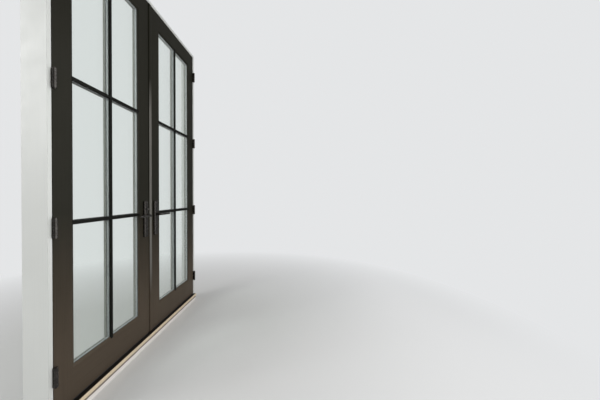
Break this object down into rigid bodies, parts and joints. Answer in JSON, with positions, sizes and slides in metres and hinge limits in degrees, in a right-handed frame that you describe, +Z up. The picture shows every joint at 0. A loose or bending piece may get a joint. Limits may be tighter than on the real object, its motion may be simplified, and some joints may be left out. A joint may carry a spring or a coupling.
{
  "type": "pair of glazed french doors in a frame",
  "caption": "Pair of tall glazed inswing French doors with divided lites, lever handles and butt hinges, hung in a white rebated frame on an oak-capped threshold.",
  "frame": {"origin": "middle of the underside of the sill", "axes": "+X along the doorway, from the left leaf to the right leaf seen from the room; +Y towards the outside; +Z up"},
  "size_m": [1.61, 0.199, 2.528],
  "materials": {
    "leaf_finish": "satin dark bronze",
    "bar_finish": "satin black bronze",
    "glass": "clear",
    "spacer_metal": "mill, matt",
    "hardware": "oil-rubbed bronze",
    "frame_paint": "satin white paint",
    "nosing_paint": "satin off-white paint",
    "oak": "clear satin",
    "deck_metal": "bronze anodised",
    "seal_rubber": "matt"
  },
  "bodies": {
    "frame": {"left_jamb": "frame_paint", "right_jamb": "frame_paint", "head_jamb": "frame_paint", "sill_deck": "deck_metal", "sill_cap": "oak", "sill_saddle": "deck_metal", "sill_nosing": "nosing_paint", "frame_seals": "seal_rubber", "left_jamb_hinges": "hardware", "right_jamb_hinges": "hardware"},
    "left_leaf": {"left_hinge_stile": "leaf_finish", "left_lock_stile": "leaf_finish", "left_top_rail": "leaf_finish", "left_bottom_rail": "leaf_finish", "left_inner_pane": "glass", "left_outer_pane": "glass", "left_spacer": "spacer_metal", "left_bead": "leaf_finish", "left_inner_bars": "bar_finish", "left_outer_bars": "bar_finish", "left_leaf_hinges": "hardware", "left_inner_plate": "hardware", "left_outer_plate": "hardware", "left_sweep": "seal_rubber", "left_lock_plate": "hardware", "key_cylinder": "hardware"},
    "right_leaf": {"right_hinge_stile": "leaf_finish", "right_lock_stile": "leaf_finish", "right_top_rail": "leaf_finish", "right_bottom_rail": "leaf_finish", "right_inner_pane": "glass", "right_outer_pane": "glass", "right_spacer": "spacer_metal", "right_bead": "leaf_finish", "right_inner_bars": "bar_finish", "right_outer_bars": "bar_finish", "right_leaf_hinges": "hardware", "right_inner_plate": "hardware", "right_outer_plate": "hardware", "right_sweep": "seal_rubber", "astragal": "leaf_finish", "astragal_seal": "seal_rubber", "astragal_strike": "hardware"},
    "left_handle": {"left_levers": "hardware"},
    "right_handle": {"right_levers": "hardware"},
    "lock_turn": {"thumb_turn": "hardware"}
  },
  "joints": [
    {"name": "left_leaf_swing", "type": "hinge", "parent": "frame", "child": "left_leaf", "pos_m": [-0.7815, -0.07, 0], "axis": [0, 0, -1], "range_deg": [0, 170]},
    {"name": "right_leaf_swing", "type": "hinge", "parent": "frame", "child": "right_leaf", "pos_m": [0.7815, -0.07, 0], "axis": [0, 0, 1], "range_deg": [0, 170]},
    {"name": "left_lever_turn", "type": "hinge", "parent": "left_leaf", "child": "left_handle", "pos_m": [-0.065, -0.057, 0.939], "axis": [0, -1, 0], "range_deg": [0, 45], "stiffness_Nm_per_rad": 1.5, "springref_deg": -17.19},
    {"name": "right_lever_turn", "type": "hinge", "parent": "right_leaf", "child": "right_handle", "pos_m": [0.065, -0.057, 0.939], "axis": [0, 1, 0], "range_deg": [0, 45], "stiffness_Nm_per_rad": 1.5, "springref_deg": -17.19},
    {"name": "thumb_turn_turn", "type": "hinge", "parent": "left_leaf", "child": "lock_turn", "pos_m": [-0.065, -0.057, 0.985], "axis": [0, -1, 0], "range_deg": [0, 90]}
  ]
}
